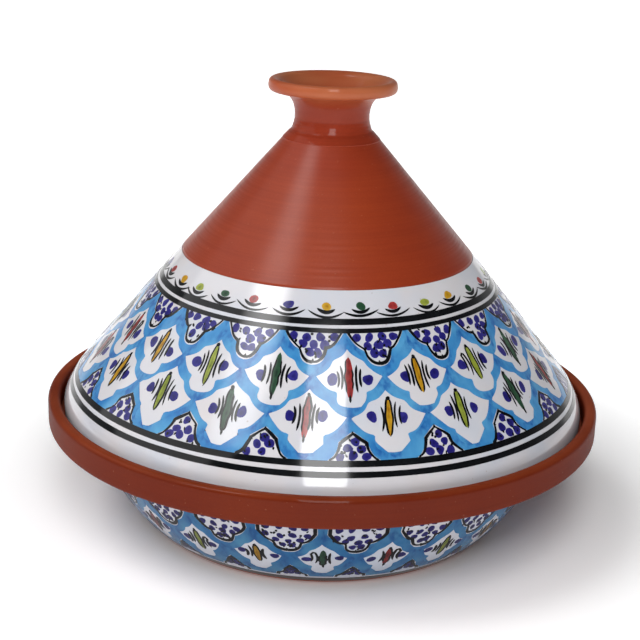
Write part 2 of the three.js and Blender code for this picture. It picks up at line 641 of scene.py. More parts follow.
BARE_CLAY = Clay(
    "bare_clay",
    warm=(158, 62, 30),
    red=(145, 52, 29),
    deep=(118, 39, 22),
    roughness=0.36,
    coat=0.17,
    coat_roughness=0.2,
    lines=0.012,
    specular=0.2,
)
KNOB_CLAY = Clay(
    "knob_clay",
    warm=(156, 62, 32),
    red=(142, 51, 30),
    deep=(116, 39, 23),
    roughness=0.42,
    coat=0.26,
    coat_roughness=0.04,
    lines=0.016,
    specular=0.05,
    # The knob's upper neck and flange turn paler. This is partly its own orange-tan clay and partly
    # painted light on the lit top.
    painted_top_light=(188, 122, 84),
    painted_top_light_heights=(230.0, 238.5),
)
RIM_GLAZE = Clay(
    "clear_glaze_on_rim",
    warm=(113, 42, 19),
    red=(101, 34, 18),
    deep=(80, 26, 15),
    roughness=0.4,
    coat=0.16,
    coat_roughness=0.07,
    lines=0.012,
    specular=0.0,
    # Painted highlight: the rim's top 1.6 mm is paler, for the lit edge of its lip.
    painted_top_light=(152, 70, 42),
    painted_top_light_heights=(71.4, 73.0),
)
INSIDE_GLAZE = Clay(
    "clear_glaze_inside",
    warm=(158, 70, 40),
    red=(140, 58, 38),
    deep=(106, 42, 30),
    roughness=0.3,
    coat=0.8,
    coat_roughness=0.08,
    lines=0.05,
    specular=0.3,
)
FOOT_CLAY = Clay(
    "foot_clay",
    warm=(170, 84, 56),
    red=(156, 72, 50),
    deep=(126, 56, 40),
    roughness=0.8,
    coat=0.0,
    coat_roughness=0.3,
    lines=0.06,
    specular=0.2,
)
# The dish's white glaze has lower gloss. Its darker, cooler white is painted shade, for the wall that sits
# in the shade under the rim.
SHADED_DISH_WHITE_GLAZE = Glaze(
    "shaded_white_glaze",
    white=(192, 194, 202),
    cool=(176, 186, 200),
    warm=(192, 186, 186),
    roughness=0.09,
    specular=0.12,
)
WHITE_GLAZE = Glaze("white_glaze", white=(215, 213, 217), cool=(199, 205, 217), warm=(215, 207, 206))

made_materials: dict[str, bpy.types.Material] = {}


def dress(
    piece: bpy.types.Object,
    finish: Clay | Glaze | Paint,
    body: str,
    slot: str,
    *nodes: str,
) -> None:
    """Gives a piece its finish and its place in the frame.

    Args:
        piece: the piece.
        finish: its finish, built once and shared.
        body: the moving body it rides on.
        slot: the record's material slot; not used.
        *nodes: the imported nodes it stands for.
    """
    if finish.name not in made_materials:
        made_materials[finish.name] = finish.material()
    piece.data.materials.append(made_materials[finish.name])
    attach(piece, body)
    if nodes:
        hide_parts(*nodes)
    log.info("%s: %d faces, on the %s", piece.name, len(piece.data.polygons), body)


# ---- Brushwork ----


class Face:
    """A turned face that paint is laid on, walked from its top edge down."""

    def __init__(self, line: Sequence[Point]) -> None:
        """Measures the slant distance of every point of the face.

        Args:
            line: the face's outline, walked down.
        """
        self.points = [Vector(p) for p in line]
        self.slants = [0.0]
        for a, b in zip(self.points, self.points[1:]):
            self.slants.append(self.slants[-1] + (b - a).length)

    def at(self, slant: float) -> tuple[Vector, Vector]:
        """Finds a point of the face.

        Args:
            slant: its distance down the face.

        Returns:
            Its (radius, height), and the way out of the clay there.
        """
        i = 1
        while i < len(self.slants) - 1 and self.slants[i] < slant:
            i += 1
        a, b = self.points[i - 1], self.points[i]
        step = (b - a).normalized()
        return a + step * (slant - self.slants[i - 1]), Vector((-step.y, step.x))

    def radius(self, slant: float) -> float:
        """The face's radius at a slant distance."""
        return self.at(slant)[0].x

    def place(self, degrees: float, slant: float, lift: float) -> Vector:
        """Where a point of the painting is in the scene.

        Args:
            degrees: its angle from the front, positive to the right.
            slant: its distance down the face.
            lift: its height over the face.

        Returns:
            The place, in metres.
        """
        point, out = self.at(slant)
        point = point + out * lift
        angle = math.radians(degrees)
        return Vector((point.x * math.sin(angle), -point.x * math.cos(angle), point.y)) * MM


@dataclass
class Spot:
    """A motif's own centre on a face. Its x runs right and its y up, in millimetres."""

    face: Face
    degrees: float
    slant: float

    def to_band(self, x: float, y: float) -> Point:
        """The (degrees, slant) place of a point of the motif."""
        slant = self.slant - y
        return self.degrees + math.degrees(x / self.face.radius(slant)), slant


class Brush:
    """One pigment's strokes on one face, joined into one piece."""

    SINK = 0.08  # how far every stroke reaches under the glaze's surface
    LAYERS = 7  # how many heights the strokes take in turn, so that two that cross don't share one
    LAYER = 0.004  # the step from one height to the next
    LOBES = 0.09  # how far a dot's lobes stand out, as a share of its size
    FRAY = 0.04  # how frayed its edge is
    DRIFT = 0.06  # how far a ring wanders
    SWELL = 0.05  # how far its width changes

    def __init__(self, face: Face, pigment: Pigment, lift: float) -> None:
        """Starts with no strokes.

        Args:
            face: the face that is painted.
            pigment: the brush's colour.
            lift: the pigment's height over the face.
        """
        self.face = face
        self.pigment = pigment
        self.lift = lift
        self.strokes = 0
        self.bm = bmesh.new()
        self.wash = self.bm.verts.layers.float.new("wash")

    def lay(
        self,
        places: Sequence[Point],
        verts: Sequence[bmesh.types.BMVert],
        wash: Sequence[float],
    ) -> None:
        """Wraps a flat shape's vertices on the face.

        Args:
            places: each vertex's (degrees, slant).
            verts: the vertices.
            wash: how far the colour is pooled at each, 0 to 1.
        """
        lift = self.lift + self.LAYER * (self.strokes % self.LAYERS)
        self.strokes += 1
        for (degrees, slant), vert, pooled in zip(places, verts, wash):
            vert.co = self.face.place(degrees, slant, lift)
            vert[self.wash] = pooled

    def line(
        self,
        spot: Spot,
        path: Sequence[Point],
        width: Callable[[float], float],
        across: int = 1,
    ) -> None:
        """Draws one stroke.

        Args:
            spot: the motif's centre.
            path: the stroke's middle line in the motif.
            width: its width at a share of its length.
            across: how many faces it has across its width.
        """
        steps = len(path) - 1
        made = bmesh.ops.create_grid(self.bm, x_segments=steps, y_segments=across, size=1.0)
        ways = [Vector(path[min(i + 1, steps)]) - Vector(path[max(i - 1, 0)]) for i in range(steps + 1)]
        places, wash = [], []
        for j in range(across + 1):
            side = 2 * j / across - 1
            for i, (point, way) in enumerate(zip(path, ways)):
                left = Vector((-way.y, way.x)).normalized() * (side * width(i / steps) / 2)
                places.append(spot.to_band(point[0] + left.x, point[1] + left.y))
                wash.append(1 - abs(side) if across > 1 else 0.5)
        self.lay(places, made["verts"], wash)

    def blot(
        self,
        spot: Spot,
        centre: Point,
        size: Point,
        lean: float,
        rng: random.Random,
        sides: int = 14,
    ) -> None:
        """Presses the brush down once, for a rough dot.

        Args:
            spot: the motif's centre.
            centre: the dot's middle in the motif.
            size: its width and height.
            lean: how far it turns, in degrees.
            rng: the source of its unevenness.
            sides: how many sides it has.
        """
        made = bmesh.ops.create_circle(self.bm, cap_ends=True, cap_tris=True, segments=sides, radius=1.0)
        phase, lobes = rng.uniform(0, math.tau), rng.choice((2, 3))
        cos, sin = math.cos(math.radians(lean)), math.sin(math.radians(lean))
        places, wash = [], []
        for vert in made["verts"]:
            x, y = vert.co.x, vert.co.y
            lobe = self.LOBES * math.sin(lobes * math.atan2(y, x) + phase)
            rough = 1 + lobe + rng.uniform(-self.FRAY, self.FRAY)
            x, y = x * rough * size[0] / 2, y * rough * size[1] / 2
            x, y = x * cos - y * sin, x * sin + y * cos
            places.append(spot.to_band(centre[0] + x, centre[1] + y))
            wash.append(1.0 if vert.co.length < 0.5 else 0.1)
        self.lay(places, made["verts"], wash)

    def fill(self, inner: Sequence[Point], outer: Sequence[Point], across: int = 4) -> None:
        """Fills the strip between two lines with colour.

        Args:
            inner: (degrees, slant) places along the edge that shows.
            outer: as many along the edge that meets the next strip.
            across: how many faces the strip has across it.
        """
        steps = len(inner) - 1
        made = bmesh.ops.create_grid(self.bm, x_segments=steps, y_segments=across, size=1.0)
        places, wash = [], []
        for j in range(across + 1):
            share = j / across
            for i, (a, b) in enumerate(zip(inner, outer)):
                corner = abs(math.cos(math.pi * i / (2 * STEPS))) ** 5
                places.append((a[0] + (b[0] - a[0]) * share, a[1] + (b[1] - a[1]) * share))
                wash.append(0.25 * share + 0.75 * corner)
        self.strokes = 0  # all strips lie at one height, so that their edges meet
        self.lay(places, made["verts"], wash)

    def ring(self, slant: float, width: float, rng: random.Random) -> None:
        """Draws a line all the way round, as the pot turns under the brush.

        Args:
            slant: the line's middle.
            width: its width.
            rng: the source of its unevenness.
        """
        made = bmesh.ops.create_grid(self.bm, x_segments=SIDES, y_segments=1, size=1.0)
        full = math.tau
        waves = [(rng.randint(2, 9), rng.uniform(0, full), rng.uniform(0, full)) for _ in range(4)]
        places = []
        for side in (0.5, -0.5):
            for i in range(SIDES + 1):
                a = full * i / SIDES
                drift = sum(math.sin(n * a + p) for n, p, _ in waves) * self.DRIFT
                swell = sum(math.sin(2 * n * a + q) for n, _, q in waves) * self.SWELL
                places.append((math.degrees(a) - 180, slant + drift + side * (width + swell)))
        self.lay(places, made["verts"], [0.5] * len(places))

    def piece(self, name: str) -> bpy.types.Object:
        """Gives the strokes their thickness.

        Args:
            name: the piece's name.

        Returns:
            The piece: closed, thin strokes that start just under the glaze's surface.
        """
        bm = self.bm
        bmesh.ops.remove_doubles(bm, verts=bm.verts, dist=WELD)
        bm.normal_update()
        level = Vector((1, 1, 0))
        inward = [f for f in bm.faces if f.normal.dot(f.calc_center_median() * level) < 0]
        bmesh.ops.reverse_faces(bm, faces=inward)
        bmesh.ops.solidify(bm, geom=bm.faces[:], thickness=(self.lift + self.SINK) * MM)
        return finish_mesh(name, bm)


# ---- The painter's shapes, drawn in a motif's own millimetres ----


STEPS = 8  # chords in each curved stretch of a motif's outline
BLUNT = 0.25  # how wide an even stroke's very end is, as a share of its width
POINTED = 0.06  # how wide a leaf's very end is


def even(width: float, taper: float = 0.25) -> Callable[[float], float]:
    """Makes a stroke's width that is even but for its rounded ends.

    Args:
        width: the even width.
        taper: the share of the stroke that each end takes.

    Returns:
        The width at a share of the stroke's length.
    """

    def at(share: float) -> float:
        """The width at a share of the length."""
        end = min(share, 1 - share) / taper
        return width if end >= 1 else width * max(BLUNT, math.sqrt(1 - (1 - end) ** 2))

    return at


def leaf(width: float) -> Callable[[float], float]:
    """A stroke's width that swells from a point and closes to a point."""
    return lambda share: width * max(POINTED, math.sin(math.pi * share) ** 0.45 if 0 < share < 1 else 0.0)


def mirrored(points: Sequence[Point]) -> list[Point]:
    """The points on the other side of a motif's middle, walked back."""
    return [(-x, y) for x, y in reversed(points)]


@dataclass
class Hand:
    """A painter's unsteadiness, which never draws a motif quite the same twice."""

    rng: random.Random

    def near(self, value: float, share: float = 0.05) -> float:
        """The value, a little more or less."""
        return value * (1 + self.rng.uniform(-share, share))

    def off(self, size: float) -> float:
        """A small slip to either side."""
        return self.rng.uniform(-size, size)

    def rough(self, path: Sequence[Point], size: float) -> list[Point]:
        """Puts a slight wave in a path.

        Args:
            path: the path.
            size: the wave's size.

        Returns:
            As many points. The path's ends stay where they are.
        """
        p, q = self.rng.uniform(0, math.tau), self.rng.uniform(0, math.tau)
        last = len(path) - 1
        moved = []
        for i, (x, y) in enumerate(path):
            reach = size * (math.sin(math.pi * i / last) if last else 0.0)
            moved.append((x + reach * math.sin(i * 0.9 + p), y + reach * math.sin(i * 0.7 + q)))
        return moved


def eased(path: Sequence[Point], passes: int = 2) -> list[Point]:
    """Rounds a path's corners a little.

    Args:
        path: the path.
        passes: how often it is rounded.

    Returns:
        As many points. The path's ends stay where they are.
    """
    points = [Vector(p) for p in path]
    for _ in range(passes):
        inner = [(a + b * 2 + c) / 4 for a, b, c in zip(points, points[1:], points[2:])]
        points = [points[0], *inner, points[-1]]
    return [(p.x, p.y) for p in points]


def upper_side(half: float, height: float, corner: Point = (0.48, 0.57)) -> list[Point]:
    """Draws a cell's outline from its top tip to its right tip.

    Args:
        half: the cell's half width.
        height: the top tip's height over the side tips.
        corner: where its upper corner is, in shares of the two.

    Returns:
        The outline's points.
    """
    tip, side = (0.0, height), (half, 0.0)
    shoulder = (corner[0] * half, corner[1] * height)
    return chain(
        bend(tip, (0.17 * half, 0.68 * height), shoulder, STEPS),
        bend(shoulder, (0.6 * half, 0.17 * height), side, STEPS),
    )


def lower_side(half: float, depth: float, notch: Point = (0.41, 0.5), point: float = 0.64) -> list[Point]:
    """Draws a cell's outline from its right tip round its lower lobes to its bottom tip.

    Args:
        half: the cell's half width.
        depth: the bottom tip's depth under the side tips.
        notch: where its two lobes meet, in shares of the two.
        point: how full the lower lobe is, as a share of the half width.

    Returns:
        The outline's points.
    """
    side, tip = (half, 0.0), (0.0, -depth)
    waist = (notch[0] * half, -notch[1] * depth)
    return chain(
        bend(side, (0.72 * half, -0.5 * depth), waist, STEPS),
        bend(waist, (point * half, -1.0 * depth), tip, STEPS),
    )


def peak_side(half: float, height: float, shoulder: Point) -> list[Point]:
    """Draws a bottom motif's outline from its peak down to its foot on the right.

    Args:
        half: the motif's half width.
        height: its height.
        shoulder: where its side turns, in shares of the two.

    Returns:
        The outline's points.
    """
    corner = (shoulder[0] * half, shoulder[1] * height)
    return chain(
        bend((0.0, height), (0.22 * half, height * 0.86), corner, STEPS),
        bend(corner, (corner[0] * 1.12, corner[1] * 0.28), (half, 0.0), STEPS),
    )


@dataclass
class Row:
    """One row of whole cells in a lattice."""

    centre: float  # slant of the cells' side tips
    half: float
    up: float
    down: float
    first: float  # angle of cell 0
    colours: tuple[Pigment, ...]


@dataclass
class Lattice:
    """A painted band: rows of ogee cells between half motifs, and the lines round it."""

    face: Face
    count: int
    rows: tuple[Row, ...]
    nodes: tuple[float, ...]  # slants where four cells meet, from the top down
    top: float  # slant where the blue starts
    bottom: float  # slant where it ends
    crown: tuple[float, float, float]  # a top motif's half width, straight neck and lobes' depth
    peak: Point  # a bottom motif's half width and height
    shoulder: Point  # where a bottom motif's sides turn, in shares of the two
    rings: tuple[Point, ...]  # each ring's slant and width
    seed: int
    leaf_length: float
    leaf_width: float
    pen: float  # width of the strokes beside a leaf
    dot: Point  # size of the cobalt dots beside a leaf
    dot_place: float  # how far they are from the cell's middle
    blotch: Point  # size of the dots in the half motifs
    dense: bool  # crowded half motifs, as on the dish
    sway: float = 0.0  # how far the cells crowd towards the back, in degrees
    halo: float = 1.0  # the white left round a half motif
    ink: float = 1.35  # width of a half motif's outline
    brushes: dict[Pigment, Brush] = field(default_factory=dict)

    # Heights over the face: the blue lies lowest and the black on top.
    LIFTS = {Pigment.BLUE: 0.05, Pigment.BLACK: 0.12}
    LIFT = 0.08

    # Cobalt dots of the half motifs, in shares of the half width and of the depth or height.
    CROWN_DOTS = (
        (-0.72, 0.16), (-0.26, 0.15), (0.22, 0.14), (0.7, 0.16),
        (-0.4, 0.4), (0.02, 0.42), (0.42, 0.38),
        (-0.12, 0.68), (0.16, 0.66),
    )
    NECK_DOTS = (-0.7, -0.24, 0.22, 0.68)
    PEAK_DOTS = ((0.05, 0.7), (-0.28, 0.42), (0.3, 0.44), (-0.55, 0.12), (0.0, 0.16), (0.5, 0.12))

    def brush(self, pigment: Pigment) -> Brush:
        """Takes up a pigment's brush, a clean one for its first stroke.

        Args:
            pigment: the colour.

        Returns:
            Its brush.
        """
        if pigment not in self.brushes:
            self.brushes[pigment] = Brush(self.face, pigment, self.LIFTS.get(pigment, self.LIFT))
        return self.brushes[pigment]

    def angle(self, row: int, index: int) -> float:
        """Finds the angle of a cell's middle. Rows alternate between two sets of angles.

        Args:
            row: the cell's row.
            index: its number in the row.

        Returns:
            The angle from the front, in degrees.
        """
        whole = self.rows[row % 2] if len(self.rows) > 1 else self.rows[0]
        pitch = 360 / self.count
        shift = 0.0 if len(self.rows) > 1 or row % 2 == 0 else pitch / 2
        even_angle = whole.first + shift + pitch * index
        return even_angle + self.sway * math.sin(math.radians(even_angle))

    def node(self, level: int, index: int) -> Point:
        """The (degrees, slant) place where four cells meet.

        Args:
            level: which slant of the lattice's nodes.
            index: the cell above whose middle, or in whose row, it lies.

        Returns:
            The place, with a slip of the hand that every cell round it shares.
        """
        rng = random.Random(self.seed * 1000 + level * 100 + index % self.count)
        degrees = self.angle(level, index)
        return degrees + rng.uniform(-0.25, 0.25), self.nodes[level] + rng.uniform(-0.5, 0.5)

    def cells(self) -> range:
        """The numbers of a row's cells, 0 the one nearest the front."""
        return range(-self.count // 2, self.count - self.count // 2)

    def neighbours(self, row: int, index: int) -> tuple[int, int]:
        """Finds what lies to the left and right of a cell in the other set of angles.

        Args:
            row: the cell's row.
            index: its number in the row.

        Returns:
            The two numbers.
        """
        middle = self.angle(row, index)
        right = index
        while self.angle(row + 1, right) <= middle:
            right += 1
        while self.angle(row + 1, right - 1) > middle:
            right -= 1
        return right - 1, right

    def paint(self) -> None:
        """Draws the whole band."""
        hand = Hand(random.Random(self.seed))
        for index in self.cells():
            self.crown_motif(index, hand)
        for number, row in enumerate(self.rows):
            for index in self.cells():
                self.cell(number, row, index, hand)
        for index in self.cells():
            self.peak_motif(index, hand)
        for slant, width in self.rings:
            self.brush(Pigment.BLACK).ring(slant, width, hand.rng)

    def cell(self, number: int, row: Row, index: int, hand: Hand) -> None:
        """Draws one whole cell: the blue round it and the strokes in it.

        Args:
            number: its row, from 0.
            row: the row's sizes.
            index: its number in the row.
            hand: the painter's hand.
        """
        left, right = self.neighbours(number, index)
        spot = Spot(self.face, self.angle(number, index) + hand.off(0.2), row.centre + hand.off(0.4))
        half, up, down = hand.near(row.half, 0.03), hand.near(row.up), hand.near(row.down)
        lean = hand.off(0.07)
        sides = chain(upper_side(half, up), lower_side(half, down))
        path = chain(sides, mirrored(sides))
        path = [(x + lean * y, y) for x, y in path]
        quarter = 2 * STEPS
        inner = []
        for side in range(4):
            stretch = hand.rough(eased(path[side * quarter:(side + 1) * quarter + 1], 1), 0.16)
            inner.extend(stretch[1:] if inner else stretch)
        corners = [
            self.node(number, index),
            self.node(number + 1, right),
            self.node(number + 2, index),
            self.node(number + 1, left),
        ]
        outer = chain(*(between(a, b, quarter) for a, b in zip(corners, corners[1:] + corners[:1])))
        self.brush(Pigment.BLUE).fill([spot.to_band(*p) for p in inner], outer)
        pigment = row.colours[index % len(row.colours)]
        self.leaf_motif(spot, pigment, hand)

    def leaf_motif(self, spot: Spot, pigment: Pigment, hand: Hand) -> None:
        """Draws a cell's filling: a coloured leaf, its pen strokes and two cobalt dots.

        Args:
            spot: the cell's centre.
            pigment: the leaf's colour.
            hand: the painter's hand.
        """
        length, width = hand.near(self.leaf_length, 0.1), hand.near(self.leaf_width, 0.1)
        lean = hand.off(0.09)
        x0, y0 = hand.off(0.6), hand.off(0.6) - 0.5
        ink = self.brush(Pigment.BLACK)

        def upright(low: float, high: float, across: Callable[[float], float], steps: int) -> list[Point]:
            """Draws a line along the leaf's slope.

            Args:
                low: its lower end, from the leaf's middle.
                high: its upper end.
                across: how far beside the slope it runs at a share of its length.
                steps: how many chords it is cut into.

            Returns:
                Its points, from the lower end up.
            """
            shares = [i / steps for i in range(steps + 1)]
            ys = [low + (high - low) * share for share in shares]
            return [(x0 + lean * y + across(share), y0 + y) for share, y in zip(shares, ys)]

        reach, swell = length / 2, leaf(width)
        self.brush(pigment).line(spot, upright(-reach, reach, lambda share: 0.0, 16), swell, 4)
        clear = pigment in (Pigment.YELLOW, Pigment.LIME)
        for side in (-1, 1):
            slip = hand.off(0.25)
            if clear:
                start, end = hand.off(0.04), 1 - abs(hand.off(0.05))
            else:
                start, end = hand.rng.uniform(-0.06, 0.3), hand.rng.uniform(0.65, 1.05)
            edge = upright(
                -reach + length * start,
                -reach + length * end,
                lambda t: slip + side * swell(min(max(start + (end - start) * t, 0.0), 1.0)) * 0.47,
                14,
            )
            ink.line(spot, hand.rough(edge, 0.14 if clear else 0.3), even(hand.near(0.95, 0.2), 0.12))
        if clear or hand.rng.random() < 0.4:
            cap = (x0 + lean * reach, y0 + reach - 0.5)
            ink.blot(spot, cap, (hand.near(2.0, 0.15), hand.near(2.2, 0.2)), 0.0, hand.rng, 10)
        if not clear:
            ink.line(spot, upright(-reach - 1.6, -reach + 2.2, lambda t: 0.0, 4), even(1.2, 0.4))
        for side in (-1, 1):
            self.side_strokes(spot, (x0, y0), side, lean, hand)

    def side_strokes(self, spot: Spot, centre: Point, side: int, lean: float, hand: Hand) -> None:
        """Draws the two short strokes and the cobalt dot on one side of a leaf.

        Args:
            spot: the cell's centre.
            centre: the leaf's middle in the motif.
            side: 1 for the right, -1 for the left.
            lean: the leaf's slope.
            hand: the painter's hand.
        """
        ink = self.brush(Pigment.BLACK)
        paths = []
        for place, reach in ((self.leaf_width * 0.5 + 1.9, 0.3), (self.leaf_width * 0.5 + 4.1, 0.22)):
            if paths and hand.rng.random() < 0.12:
                continue
            x, shift = side * hand.near(place, 0.07), hand.off(0.9)
            half, bow = self.leaf_length * hand.near(reach, 0.14), hand.near(0.8, 0.5)
            shares = [i / 4 - 1 for i in range(9)]
            paths.append([
                (centre[0] + x + lean * half * t - side * bow * (1 - t * t), centre[1] + shift + half * t)
                for t in shares
            ])
        if len(paths) == 2 and hand.rng.random() < (0.5 if self.dense else 0.08):
            inner, outer = paths
            over = ((inner[-1][0] + outer[-1][0]) / 2, max(inner[-1][1], outer[-1][1]) + 0.5)
            paths = [[*inner, over, *outer[::-1]]]
        for path in paths:
            ink.line(spot, path, even(hand.near(self.pen, 0.18)))
        dot = (centre[0] + side * (self.dot_place + hand.off(1.1)), centre[1] + hand.off(1.0) - 0.3)
        size = (hand.near(self.dot[0], 0.1), hand.near(self.dot[1], 0.1))
        self.brush(Pigment.COBALT).blot(spot, dot, size, hand.off(20), hand.rng)

    def crown_motif(self, index: int, hand: Hand) -> None:
        """Draws a half motif that hangs from the band's top line, and the blue round it.

        Args:
            index: its number.
            hand: the painter's hand.
        """
        left, right = self.neighbours(1, index)
        half, neck, deep = hand.near(self.crown[0], 0.04), self.crown[1], hand.near(self.crown[2], 0.05)
        spot = Spot(self.face, self.angle(1, index) + hand.off(0.2), self.top + neck)
        notch = (hand.near(0.46, 0.12), hand.near(0.5, 0.06))

        def right_side(wide: float, depth: float, point: float) -> list[Point]:
            """The motif's right side, from the band's top line down to its tip."""
            lobes = eased(lower_side(wide, depth, notch, point), 1)
            return chain(between((wide, neck), (wide, 0.0), 4), lobes)

        side = right_side(half, deep, 0.42)
        halo = right_side(half + self.halo, deep + self.halo * 1.4, 0.44)
        inner = [spot.to_band(*p) for p in chain(halo, mirrored(halo))]
        a, b, tip = self.node(0, left), self.node(0, right), self.node(1, index)
        right_edge = chain(between((b[0], self.top), b, 4), between(b, tip, 2 * STEPS))
        left_edge = chain(between(tip, a, 2 * STEPS), between(a, (a[0], self.top), 4))
        self.brush(Pigment.BLUE).fill(inner, chain(right_edge, left_edge))
        self.draw_outline(spot, side, hand)
        corner = side[4 + STEPS]
        ticks = [
            ((sign * corner[0], corner[1] - 0.3), (-sign * hand.near(0.8, 0.4), 1.9))
            for sign in (-1, 1)
        ]
        ticks.append(((side[-1][0], side[-1][1] - 0.5), (hand.off(0.5), 2.2)))
        self.draw_ticks(spot, ticks)
        self.sprinkle_crown(spot, half, neck, deep, hand)

    def peak_motif(self, index: int, hand: Hand) -> None:
        """Draws a half motif that stands on the band's bottom line, and the blue round it.

        Args:
            index: its number.
            hand: the painter's hand.
        """
        row, level = len(self.rows), len(self.nodes) - 1
        base = self.nodes[-1]
        drop = self.bottom - base
        left, right = self.neighbours(row, index)
        spot = Spot(self.face, self.angle(row, index) + hand.off(0.2), base)
        half, high = hand.near(self.peak[0], 0.05), hand.near(self.peak[1], 0.05)
        turn_at = (hand.near(self.shoulder[0], 0.06), hand.near(self.shoulder[1], 0.05))

        def right_side(wide: float, height: float) -> list[Point]:
            """The motif's right side, from its peak down to the band's bottom line."""
            foot = between((wide, 0.0), (wide + 0.5, -drop), 4)
            return chain(peak_side(wide, height, turn_at), foot)

        side = right_side(half, high)
        halo = right_side(half + self.halo, high + self.halo * 1.2)
        inner = [spot.to_band(*p) for p in chain(mirrored(halo), halo)]
        a, b, tip = self.node(level, left), self.node(level, right), self.node(level - 1, index)
        left_edge = chain(between((a[0], self.bottom), a, 4), between(a, tip, 2 * STEPS))
        right_edge = chain(between(tip, b, 2 * STEPS), between(b, (b[0], self.bottom), 4))
        self.brush(Pigment.BLUE).fill(inner, chain(left_edge, right_edge))
        self.draw_outline(spot, side, hand)
        corner = side[STEPS]
        ticks = [
            ((sign * (corner[0] + 0.3), corner[1] + 0.2), (-sign * 1.3, -hand.near(1.3, 0.4)))
            for sign in (-1, 1)
        ]
        ticks.append(((0.0, high + 1.1), (hand.off(0.4), -1.9)))
        self.draw_ticks(spot, ticks)
        self.sprinkle_peak(spot, half, high, hand)

    def draw_outline(self, spot: Spot, side: Sequence[Point], hand: Hand) -> None:
        """Draws a half motif's black outline, one stroke to each side.

        Args:
            spot: the motif's centre.
            side: the outline on the right.
            hand: the painter's hand.
        """
        for points in (side, [(-x, y) for x, y in side]):
            phase, width = hand.rng.uniform(0, math.tau), hand.near(self.ink, 0.12)

            def swelling(share: float) -> float:
                """The line's width at a share of its length."""
                return width * (1 + 0.28 * math.sin(7 * share + phase))

            self.brush(Pigment.BLACK).line(spot, hand.rough(points, 0.2), swelling)

    def draw_ticks(self, spot: Spot, ticks: Sequence[tuple[Point, Point]]) -> None:
        """Draws the pen's short catches at an outline's corners.

        Args:
            spot: the motif's centre.
            ticks: each one's start and its way from there.
        """
        for start, way in ticks:
            end = (start[0] + way[0], start[1] + way[1])
            self.brush(Pigment.BLACK).line(spot, between(start, end, 2), even(1.3, 0.5))

    def sprinkle(self, spot: Spot, dots: Sequence[Point], size: Point, hand: Hand) -> None:
        """Presses a motif's cobalt dots.

        Args:
            spot: the motif's centre.
            dots: their middles.
            size: their usual width and height.
            hand: the painter's hand.
        """
        for x, y in dots:
            each = (hand.near(size[0], 0.15), hand.near(size[1], 0.15))
            place = (x + hand.off(0.6), y + hand.off(0.6))
            self.brush(Pigment.COBALT).blot(spot, place, each, hand.off(60), hand.rng)

    def speckle(
        self,
        spot: Spot,
        count: int,
        room: Callable[[float], tuple[float, float]],
        hand: Hand,
    ) -> None:
        """Touches in a motif's small black specks.

        Args:
            spot: the motif's centre.
            count: how many there are.
            room: the height and half width that are free at a share of the motif's depth.
            hand: the painter's hand.
        """
        for _ in range(count):
            y, half = room(hand.rng.random())
            size = (hand.near(1.15, 0.3), hand.near(1.6, 0.35))
            self.brush(Pigment.BLACK).blot(spot, (hand.off(half), y), size, hand.off(50), hand.rng, 8)

    def sprinkle_crown(self, spot: Spot, half: float, neck: float, deep: float, hand: Hand) -> None:
        """Fills a top motif with crowded cobalt dots and black specks.

        Args:
            spot: the motif's centre.
            half: its half width.
            neck: how far it reaches over its centre.
            deep: how far it reaches under it.
            hand: the painter's hand.
        """
        dots = [(half * x, -deep * y) for x, y in self.CROWN_DOTS]
        if not self.dense:
            for _ in range(hand.rng.choice((0, 1, 2))):
                dots.pop(hand.rng.randrange(4, len(dots)))
        level = neck - 3.0
        while self.dense and level > 0:
            dots += [(half * x, level) for x in self.NECK_DOTS]
            level -= 5.0
        self.sprinkle(spot, dots, self.blotch, hand)

        def room(share: float) -> tuple[float, float]:
            """The height and half width that are free at a share of the motif's depth."""
            y = neck - (neck + deep * 0.85) * share
            return y, half * (0.85 if y > -deep * 0.38 else 0.3)

        self.speckle(spot, 26 if self.dense else 9, room, hand)

    def sprinkle_peak(self, spot: Spot, half: float, high: float, hand: Hand) -> None:
        """Fills a bottom motif with cobalt dots and small black specks.

        Args:
            spot: the motif's centre.
            half: its half width.
            high: its height.
            hand: the painter's hand.
        """
        dots = list(self.PEAK_DOTS)
        if not self.dense and hand.rng.random() < 0.5:
            dots.pop(hand.rng.choice((3, 4, 5)))
        self.sprinkle(spot, [(half * x, high * y) for x, y in dots], self.blotch, hand)

        def room(share: float) -> tuple[float, float]:
            """The height and half width that are free at a share of the motif's height."""
            return high * 0.8 * share, half * 0.75 * (1 - share * 0.75)

        self.speckle(spot, 9, room, hand)

    def pieces(self, body: str) -> list[bpy.types.Object]:
        """Makes one piece of every pigment and dresses it.

        Args:
            body: the moving body the band belongs to, whose name the pieces start with.

        Returns:
            The pieces.
        """
        made = []
        for pigment, brush in self.brushes.items():
            piece = brush.piece(f"{body}_{pigment.value.name}_strokes")
            # The dish's pigments are darker, less glossy copies; the darker tone is painted shade on the
            # wall under the rim.
            finish = pigment.value.shaded_copy() if self.dense else pigment.value
            dress(piece, finish, body, "painted_glaze")
            made.append(piece)
        return made


